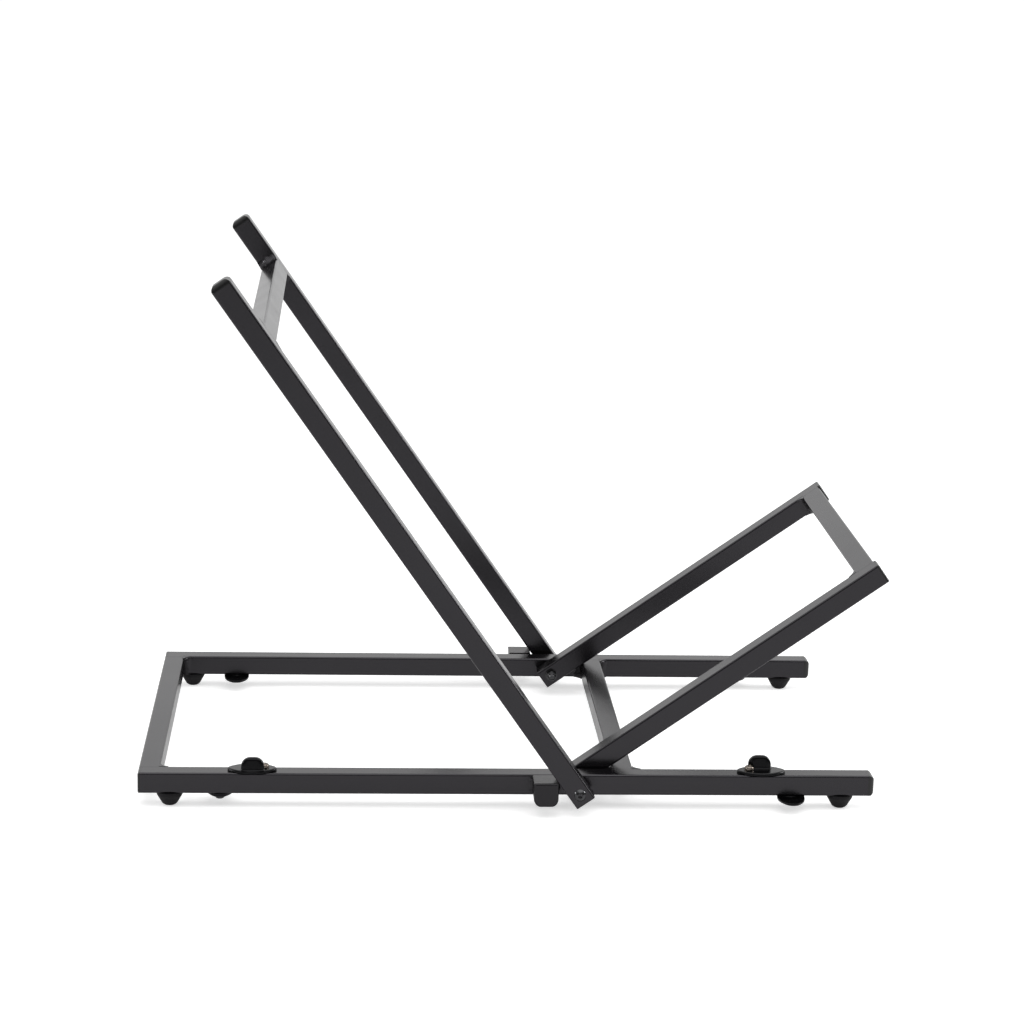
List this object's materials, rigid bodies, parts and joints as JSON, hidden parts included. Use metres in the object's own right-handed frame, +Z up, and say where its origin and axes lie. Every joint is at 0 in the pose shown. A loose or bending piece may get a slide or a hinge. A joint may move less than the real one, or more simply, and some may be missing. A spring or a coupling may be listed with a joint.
{
  "type": "folding amp stand",
  "caption": "Folding stand of black square tube: a flat base, a leaning back rest and a rising cradle that tilt a combo amplifier back, with latches that hold it folded.",
  "frame": {"origin": "on the floor under the middle of the open stand", "axes": "+X towards the front, where the cradle is; +Y towards the left side, away from the latches; +Z up"},
  "size_m": [0.5612, 0.3734, 0.4017],
  "materials": {
    "tube_black": "satin black powder coat over square steel tube",
    "plastic_black": "moulded black plastic, fine spark texture",
    "rubber_black": "moulded black rubber",
    "nylon_black": "turned black nylon",
    "bolt_black": "black oxide",
    "screw_bright": "bright zinc plate",
    "screw_black": "black oxide, oiled"
  },
  "bodies": {
    "base": {"rail_right": "tube_black", "rail_left": "tube_black", "rear_crossbar": "tube_black", "mid_crossbar": "tube_black", "stop_stub_right": "tube_black", "stop_stub_left": "tube_black", "stop_cap_right": "rubber_black", "stop_cap_left": "rubber_black", "rail_plug_front_right": "plastic_black", "rail_plug_front_left": "plastic_black", "rail_plug_rear_right": "plastic_black", "rail_plug_rear_left": "plastic_black", "foot_front_right": "rubber_black", "foot_front_left": "rubber_black", "foot_rear_right": "rubber_black", "foot_rear_left": "rubber_black", "ledge_front_right": "plastic_black", "ledge_front_left": "plastic_black", "ledge_rear_right": "plastic_black", "ledge_rear_left": "plastic_black", "ledge_screws": "screw_black", "latch_screws": "screw_bright", "pivot_bolt_right": "bolt_black", "pivot_bolt_left": "bolt_black", "pivot_spacer_right": "nylon_black", "pivot_spacer_left": "nylon_black", "pivot_washer_right": "nylon_black", "pivot_washer_left": "nylon_black", "nut_washer_right": "bolt_black", "nut_washer_left": "bolt_black", "lock_nut_right": "bolt_black", "lock_nut_left": "bolt_black"},
    "back_rest": {"back_leg_right": "tube_black", "back_leg_left": "tube_black", "back_crossbar": "tube_black", "back_plug_right": "plastic_black", "back_plug_left": "plastic_black"},
    "cradle": {"cradle_leg_right": "tube_black", "cradle_leg_left": "tube_black", "cradle_crossbar": "tube_black", "cradle_plug_right": "plastic_black", "cradle_plug_left": "plastic_black"},
    "front_latch": {"latch_front": "plastic_black"},
    "rear_latch": {"latch_rear": "plastic_black"}
  },
  "joints": [
    {"name": "back_rest_fold", "type": "hinge", "parent": "base", "child": "back_rest", "pos_m": [0.04891, 0, 0.0185], "axis": [0, 1, 0], "range_deg": [0, 125.2]},
    {"name": "cradle_fold", "type": "hinge", "parent": "base", "child": "cradle", "pos_m": [0.04891, 0, 0.0185], "axis": [0, -1, 0], "range_deg": [0, 144.5]},
    {"name": "front_latch_swing", "type": "hinge", "parent": "base", "child": "front_latch", "pos_m": [0.17941, -0.154, 0.027], "axis": [0, 0, -1], "range_deg": [0, 90]},
    {"name": "rear_latch_swing", "type": "hinge", "parent": "base", "child": "rear_latch", "pos_m": [-0.18659, -0.154, 0.027], "axis": [0, 0, -1], "range_deg": [0, 90]}
  ]
}
